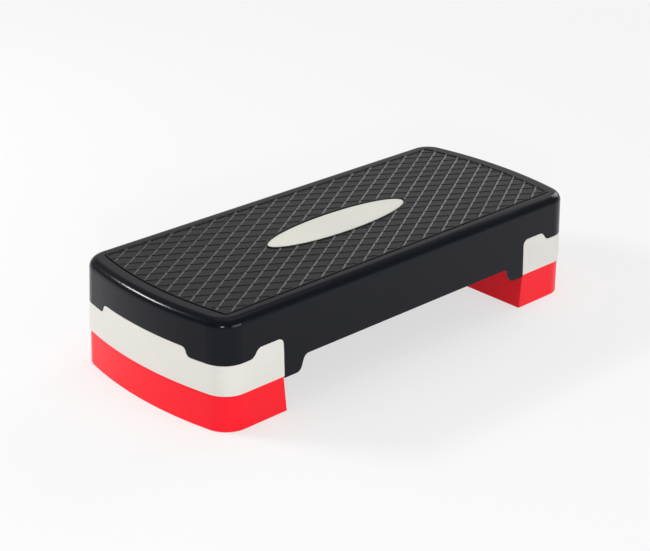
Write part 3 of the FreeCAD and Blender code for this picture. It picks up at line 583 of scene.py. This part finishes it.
def make_turned_tree(name, material, sides, drive=None):
    """A half section turned about the upright axis and set on each place.

    The sizes of a drive add a cross recess.
    """
    drive = drive or {}
    tree, size, out = geometry_tree(name, {"Sides": sides, "Rows": 2, "Sharp Angle": TURNED_CREASE, **drive})
    grid = put(tree, "GeometryNodeMeshGrid", Size_X=1.0, Size_Y=1.0,
               Vertices_X=math_node(tree, "ADD", size["Sides"], 1.0), Vertices_Y=size["Rows"])
    place = put(tree, "GeometryNodeInputPosition").outputs[0]
    cell = put(tree, "ShaderNodeSeparateXYZ", Vector=place).outputs
    turn = math_node(tree, "MULTIPLY", math_node(tree, "ADD", cell["X"], 0.5), 2 * math.pi)
    row = math_node(tree, "MULTIPLY", math_node(tree, "ADD", cell["Y"], 0.5),
                    math_node(tree, "SUBTRACT", size["Rows"], 1.0))
    sample = put(tree, "GeometryNodeSampleIndex", {"data_type": "FLOAT_VECTOR"},
                 Geometry=marked(tree, size["Geometry"], TURNED["section"]), Value=place,
                 Index=math_node(tree, "ROUND", row))
    drawn = put(tree, "ShaderNodeSeparateXYZ", Vector=sample.outputs["Value"]).outputs
    spot = put(tree, "ShaderNodeCombineXYZ",
               X=math_node(tree, "MULTIPLY", drawn["X"], math_node(tree, "COSINE", turn)),
               Y=math_node(tree, "MULTIPLY", drawn["X"], math_node(tree, "SINE", turn)), Z=drawn["Y"])
    bent = put(tree, "GeometryNodeSetPosition", Geometry=grid.outputs["Mesh"], Position=spot.outputs[0])
    piece = put(tree, "GeometryNodeMergeByDistance", Geometry=bent.outputs["Geometry"],
                Distance=SAME_POINT).outputs["Geometry"]
    if drive:
        deep = math_node(tree, "MULTIPLY", size["Drive Depth"], 2.0)
        recess = put(tree, "GeometryNodeMeshBoolean", {"operation": "DIFFERENCE", "solver": "EXACT"},
                     Mesh_1=piece)
        span, width = size["Drive Length"], size["Drive Width"]
        for x, y in ((span, width), (width, span)):
            block = put(tree, "ShaderNodeCombineXYZ", X=x, Y=y, Z=deep)
            arm = put(tree, "GeometryNodeMeshCube", Size=block.outputs[0])
            tree.links.new(arm.outputs["Mesh"], recess.inputs["Mesh 2"])
        piece = recess.outputs["Mesh"]
    placed = put(tree, "GeometryNodeInstanceOnPoints",
                 Points=marked(tree, size["Geometry"], TURNED["place"]),
                 Instance=creased(tree, piece, size["Sharp Angle"]))
    return end_tree(tree, out, placed.outputs["Instances"], material)


def rounded_corner(radius, height, rounding, steps=5):
    """Points round the lower outer edge of a turned piece."""
    turns = [math.pi / 2 * (step / steps - 1.0) for step in range(steps + 1)]
    return [(radius - rounding * (1.0 - math.cos(turn)), height + rounding * (1.0 + math.sin(turn)))
            for turn in turns]


def pad_section(radius, height, sizes):
    """Half section of a pad, from the middle of its tread face out and up to the middle of its top."""
    depth, half, flank = sizes.groove_depth, sizes.groove_width / 2, sizes.groove_depth / 3
    dimple = PAD_DIMPLE * radius
    points = [(0.0, depth), (dimple, depth), (dimple + flank, 0.0)]
    for middle in (ring * radius for ring in PAD_RINGS):
        points += [(middle - half - flank, 0.0), (middle - half, depth), (middle + half, depth),
                   (middle + half + flank, 0.0)]
    return points + rounded_corner(radius, 0.0, sizes.rounding) + [(radius, height), (0.0, height)]


def screw_section(tip, sizes):
    """Half section of a screw that stands on its domed head, from the middle of the head up to the tip."""
    head, neck, shank = sizes.head_radius, sizes.head_height, sizes.shank_radius
    dome = [(0.0, 0.0), (0.5 * head, 0.0), (0.75 * head, 0.06 * neck),
            *rounded_corner(head, 0.12 * neck, 0.4 * neck), (head, neck)]
    return dome + [(shank, neck), (shank, tip - shank), (0.3 * shank, tip), (0.0, tip)]


def turned_mesh(name, places, section):
    """The places of a turned piece and its half section."""
    return path_mesh(name, [(TURNED["place"], False, [[place] for place in places]),
                            (TURNED["section"], False, [section])])


class STEP_OT_pads(bpy.types.Operator):
    """Make the rubber pads under the end feet and the risers"""
    bl_idname = "step.pads"
    bl_label = "Rubber pads"

    def execute(self, context):
        finish = make_finish("pad_finish", context.scene.step_colours.pad, edge=(0.03, 0.03, 0.03),
                             roughness=0.7, specular=0.3, bump=0.3, grain_scale=900.0)
        tree = make_turned_tree("Rubber Pads", finish, PAD_SIDES)
        for name, start, body in (("foot_pads", "foot_pad_", "deck"),
                                  ("riser_pads_left", "riser_pad_left", "riser_left"),
                                  ("riser_pads_right", "riser_pad_right", "riser_right")):
            nodes = [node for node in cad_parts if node.startswith(start)]
            boxes = [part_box(node) for node in nodes]
            low, high = boxes[0]
            section = pad_section((high.x - low.x) / 2, high.z - low.z, context.scene.step_pads)
            places = [(*((bottom + top) / 2).xy, bottom.z) for bottom, top in boxes]
            pads = grow(name, turned_mesh(name + "_places", places, section), tree, {"Rows": len(section)})
            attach(pads, body)
            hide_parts(*nodes)
        return {"FINISHED"}


class STEP_OT_screws(bpy.types.Operator):
    """Make the pan-head screws that hold the end feet to the deck"""
    bl_idname = "step.screws"
    bl_label = "Screws"

    def execute(self, context):
        sizes = context.scene.step_screws
        finish = make_finish("screw_finish", context.scene.step_colours.screw, edge=(0.72, 0.72, 0.74),
                             roughness=0.34, specular=0.5, bump=0.1, grain_scale=2600.0, metallic=1.0)
        drive = {"Drive Length": sizes.drive_length, "Drive Width": sizes.drive_width,
                 "Drive Depth": sizes.drive_depth}
        tree = make_turned_tree("Foot Screws", finish, SCREW_SIDES, drive)
        for end in ("left", "right"):
            low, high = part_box(f"foot_screws_{end}")
            section = screw_section(high.z - low.z, sizes)
            places = [(x, y, low.z) for x in (low.x + sizes.head_radius, high.x - sizes.head_radius)
                      for y in (low.y + sizes.head_radius, high.y - sizes.head_radius)]
            screws = grow(f"screws_{end}", turned_mesh(f"screws_{end}_places", places, section), tree,
                          {"Rows": len(section), **drive})
            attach(screws, "deck")
            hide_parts(f"foot_screws_{end}")
        return {"FINISHED"}


# Studio

# Name, place, width and height in metres, power in watts, and whether a flag keeps the lamp off the tread
SOFTBOXES = (
    ("top_softbox", (0.6, 0.2, 2.7), (2.0, 2.0), 6.0, False),
    ("near_softbox", (-1.99, -1.99, 0.95), (0.15, 0.13), 21.0, True),
    ("front_softbox", (0.45, -2.6, 0.6), (1.6, 0.8), 20.0, False),
    ("back_softbox", (-1.56, 1.86, 1.56), (0.8, 0.24), 39.0, True),
    ("right_softbox", (5.2, 0.7, 2.45), (2.6, 2.5), 69.0, False),
    ("back_panel", (2.1, 2.1, 1.4), (2.4, 1.6), 3.0, False),
)
LAMP_AIM = Vector((0.0, 0.0, 0.1))
FLOOR_RADIUS = 9.0
FLOOR_DROP = 0.0002     # keeps the floor clear of the pads' faces
FLOOR_GLOW = 0.62       # share of its own white that the floor shows
# Height on the world's sphere, from the horizon up, and grey there
WORLD_SHADES = ((0.0, 0.46), (1.0, 0.44), (0.42, 0.36))


def add_softbox(name, place, size, power, flagged):
    """An area lamp that faces the deck. A flagged one doesn't light the tread."""
    light = bpy.data.lights.new(name, "AREA")
    light.shape = "RECTANGLE"
    light.size, light.size_y = size
    light.energy = power
    lamp = bpy.data.objects.new(name, light)
    lamp.location = place
    lamp.rotation_euler = (LAMP_AIM - Vector(place)).to_track_quat("-Z", "Y").to_euler()
    lamp.visible_camera = False
    bpy.context.scene.collection.objects.link(lamp)
    if flagged:
        shaded = bpy.data.collections.new(name + "_flag")
        shaded.objects.link(bpy.data.objects["tread"])
        shaded.collection_objects[0].light_linking.link_state = "EXCLUDE"
        lamp.light_linking.receiver_collection = shaded


def make_floor_paper(base):
    """Pale paper. To the camera and to mirrors it is part white by itself, and it keeps a soft shadow."""
    material, tree, shader = principled("studio_floor")
    shader.inputs["Base Color"].default_value = (*base, 1.0)
    shader.inputs["Roughness"].default_value = 0.9
    shader.inputs["Specular IOR Level"].default_value = 0.0
    ray = put(tree, "ShaderNodeLightPath").outputs
    seen = math_node(tree, "ADD", ray["Is Camera Ray"], ray["Is Glossy Ray"])
    shown = put(tree, "ShaderNodeMath", {"operation": "ADD", "use_clamp": True}, _0=seen,
                _1=ray["Is Transmission Ray"])
    share = math_node(tree, "MULTIPLY", shown.outputs[0], FLOOR_GLOW)
    white = put(tree, "ShaderNodeEmission", Strength=1.0)
    both = put(tree, "ShaderNodeMixShader", _0=share, _1=shader.outputs[0], _2=white.outputs[0])
    tree.links.new(both.outputs[0], tree.nodes["Material Output"].inputs["Surface"])
    return material


def light_world(tree):
    """Pale all round at floor level and overhead, and dimmer between."""
    place = put(tree, "ShaderNodeTexCoord")
    height = put(tree, "ShaderNodeSeparateXYZ", Vector=place.outputs["Generated"])
    shade = put(tree, "ShaderNodeValToRGB", Fac=height.outputs["Z"])
    stops = shade.color_ramp.elements
    for index, (level, grey) in enumerate(WORLD_SHADES):
        stop = stops[index] if index < 2 else stops.new(level)
        stop.position, stop.color = level, (grey, grey, grey, 1.0)
    background = tree.nodes["Background"]
    tree.links.new(shade.outputs["Color"], background.inputs["Color"])
    background.inputs["Strength"].default_value = 1.0


def set_camera(scene, view):
    """Stand the camera on a sphere round its aim point and tilt it."""
    back = Vector((math.sin(view.azimuth) * math.cos(view.elevation),
                   -math.cos(view.azimuth) * math.cos(view.elevation), math.sin(view.elevation)))
    right = Vector((0.0, 0.0, 1.0)).cross(back).normalized()
    up = back.cross(right)
    turned_right = math.cos(view.roll) * right + math.sin(view.roll) * up
    turned_up = math.cos(view.roll) * up - math.sin(view.roll) * right
    camera = bpy.data.objects.new("photo_camera", bpy.data.cameras.new("photo_camera"))
    camera.matrix_world = Matrix((turned_right, turned_up, back)).transposed().to_4x4()
    camera.location = Vector(view.aim) + view.distance * back
    camera.data.sensor_fit = "HORIZONTAL"
    camera.data.lens = view.focal * camera.data.sensor_width
    scene.collection.objects.link(camera)
    scene.camera = camera


class STEP_OT_stage(bpy.types.Operator):
    """Set up the floor, the soft studio light and the camera"""
    bl_idname = "step.stage"
    bl_label = "Stage"

    def execute(self, context):
        scene = context.scene
        bpy.ops.mesh.primitive_circle_add(vertices=96, radius=FLOOR_RADIUS, fill_type="NGON")
        floor = context.object
        floor.name = "studio_floor"
        floor.location.z = -FLOOR_DROP
        floor.data.materials.append(make_floor_paper(scene.step_colours.floor))

        world = bpy.data.worlds.new("studio")
        scene.world = world
        world.use_nodes = True
        light_world(world.node_tree)
        for softbox in SOFTBOXES:
            add_softbox(*softbox)

        set_camera(scene, scene.step_camera)
        scene.view_settings.view_transform = "Standard"
        return {"FINISHED"}


class STEP_PT_panel(bpy.types.Panel):
    """Sidebar panel that lists the steps and their settings"""
    bl_idname = "STEP_PT_panel"
    bl_label = "Step Platform"
    bl_space_type = "VIEW_3D"
    bl_region_type = "UI"
    bl_category = "Step Platform"

    def draw(self, context):
        for operator in OPERATORS:
            self.layout.operator(operator.bl_idname)
        for group in SETTINGS:
            settings = getattr(context.scene, group)
            for name in settings.__annotations__:
                self.layout.prop(settings, name)


OPERATORS = (STEP_OT_deck, STEP_OT_tread, STEP_OT_plate, STEP_OT_end_feet, STEP_OT_risers, STEP_OT_pads,
             STEP_OT_screws, STEP_OT_stage)
SETTINGS = {"step_colours": StepColours, "step_tread": TreadSizes, "step_pads": PadSizes,
            "step_screws": ScrewSizes, "step_camera": StepCamera}
CLASSES = (*SETTINGS.values(), *OPERATORS, STEP_PT_panel)


def register():
    for kind in CLASSES:
        bpy.utils.register_class(kind)
    for name, kind in SETTINGS.items():
        setattr(bpy.types.Scene, name, bpy.props.PointerProperty(type=kind))


def unregister():
    for name in SETTINGS:
        delattr(bpy.types.Scene, name)
    for kind in reversed(CLASSES):
        bpy.utils.unregister_class(kind)


def main():
    register()
    bpy.ops.step.deck()
    bpy.ops.step.tread()
    bpy.ops.step.plate()
    bpy.ops.step.end_feet()
    bpy.ops.step.risers()
    bpy.ops.step.pads()
    bpy.ops.step.screws()
    bpy.ops.step.stage()


if __name__ == "__main__":
    main()
